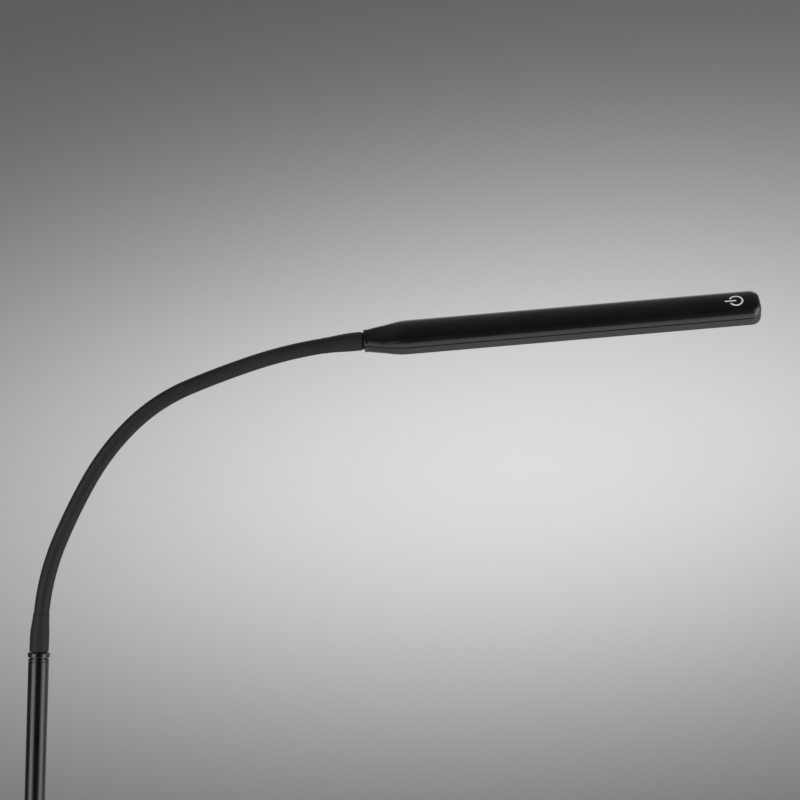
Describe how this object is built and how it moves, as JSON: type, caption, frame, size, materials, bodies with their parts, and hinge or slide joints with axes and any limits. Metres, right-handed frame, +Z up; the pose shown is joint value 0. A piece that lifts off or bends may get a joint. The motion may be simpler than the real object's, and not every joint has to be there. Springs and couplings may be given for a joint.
{
  "type": "floor lamp",
  "caption": "Floor lamp with a weighted round base, a sectional round pole, a rubber-sleeved gooseneck and a slim bar head with a light strip and a touch switch.",
  "frame": {"origin": "middle of the underside of the base's foam pad, on the floor and on the pole's axis", "axes": "+Z up along the pole, +X towards the side that the neck arches to at rest, +Y to the back of the lamp as pictured"},
  "size_m": [0.6795, 0.24, 1.388],
  "materials": {
    "zinc_steel": "zinc plated",
    "satin_black": "satin",
    "iron": "rough cast",
    "foam": "matte foam",
    "black_plastic": "satin, fine grain",
    "nickel": "nickel plated",
    "neck_rubber": "matte",
    "core_steel": "plain",
    "lead_white": "satin",
    "washer_black": "satin",
    "brass": "plain",
    "aluminium": "plain",
    "opal": "opal, satin",
    "white_mask": "satin",
    "chip_yellow": "gloss",
    "board_green": "satin"
  },
  "bodies": {
    "stand": {"base_pad": "foam", "base_plate": "zinc_steel", "base_weight": "iron", "base_cover": "satin_black", "plate_screws": "zinc_steel", "foot_flange": "satin_black", "foot_stud": "zinc_steel", "stud_washer": "zinc_steel", "stud_nut": "zinc_steel", "power_inlet": "black_plastic", "inlet_nut": "zinc_steel", "inlet_pin": "nickel", "foot_bush": "zinc_steel", "pole_lower": "satin_black", "pole_middle": "satin_black", "pole_upper": "satin_black", "joint_bushes": "zinc_steel", "joint_studs": "zinc_steel", "power_lead": "lead_white", "neck_collar": "satin_black", "lower_boot": "neck_rubber", "core_root": "core_steel"},
    "neck_1": {"core_1": "core_steel", "sleeve_1": "neck_rubber", "lead_1": "lead_white"},
    "neck_2": {"core_2": "core_steel", "sleeve_2": "neck_rubber", "lead_2": "lead_white"},
    "neck_3": {"core_3": "core_steel", "sleeve_3": "neck_rubber", "lead_3": "lead_white"},
    "neck_4": {"core_4": "core_steel", "sleeve_4": "neck_rubber", "lead_4": "lead_white"},
    "neck_5": {"core_5": "core_steel", "sleeve_5": "neck_rubber", "lead_5": "lead_white"},
    "neck_6": {"core_6": "core_steel", "sleeve_6": "neck_rubber", "lead_6": "lead_white"},
    "neck_tip": {"core_tip": "core_steel", "upper_boot": "neck_rubber", "swivel_journal": "core_steel", "thrust_washer": "washer_black", "tip_lead": "lead_white", "end_nut": "brass"},
    "head": {"swivel_socket": "aluminium", "head_shell": "black_plastic", "head_frame": "black_plastic", "diffuser": "opal", "heat_plate": "aluminium", "led_board": "white_mask", "led_chips": "chip_yellow", "control_board": "board_green", "touch_spring": "brass", "power_symbol": "white_mask", "head_screws": "zinc_steel", "head_wires": "lead_white"}
  },
  "joints": [
    {"name": "bend_1", "type": "hinge", "parent": "stand", "child": "neck_1", "pos_m": [0.00148, 0, 1.12856], "axis": [0, 1, 0], "range_deg": [-24, 24]},
    {"name": "sway_2", "type": "hinge", "parent": "neck_1", "child": "neck_2", "pos_m": [0.01337, 0, 1.18003], "axis": [0.9336, 0, -0.3584], "range_deg": [-24, 24]},
    {"name": "bend_3", "type": "hinge", "parent": "neck_2", "child": "neck_3", "pos_m": [0.03533, 0, 1.22823], "axis": [0, 1, 0], "range_deg": [-24, 24]},
    {"name": "sway_4", "type": "hinge", "parent": "neck_3", "child": "neck_4", "pos_m": [0.06638, 0, 1.27097], "axis": [0.7193, 0, -0.6947], "range_deg": [-24, 24]},
    {"name": "bend_5", "type": "hinge", "parent": "neck_4", "child": "neck_5", "pos_m": [0.10941, 0, 1.30138], "axis": [0, 1, 0], "range_deg": [-24, 24]},
    {"name": "sway_6", "type": "hinge", "parent": "neck_5", "child": "neck_6", "pos_m": [0.15845, 0, 1.32144], "axis": [0.342, 0, -0.9397], "range_deg": [-24, 24]},
    {"name": "bend_7", "type": "hinge", "parent": "neck_6", "child": "neck_tip", "pos_m": [0.20947, 0, 1.33559], "axis": [0, 1, 0], "range_deg": [-24, 24]},
    {"name": "head_swivel", "type": "hinge", "parent": "neck_tip", "child": "head", "pos_m": [0.24307, 0, 1.34076], "axis": [0.9936, 0, 0.1132], "range_deg": [-135, 45]}
  ]
}
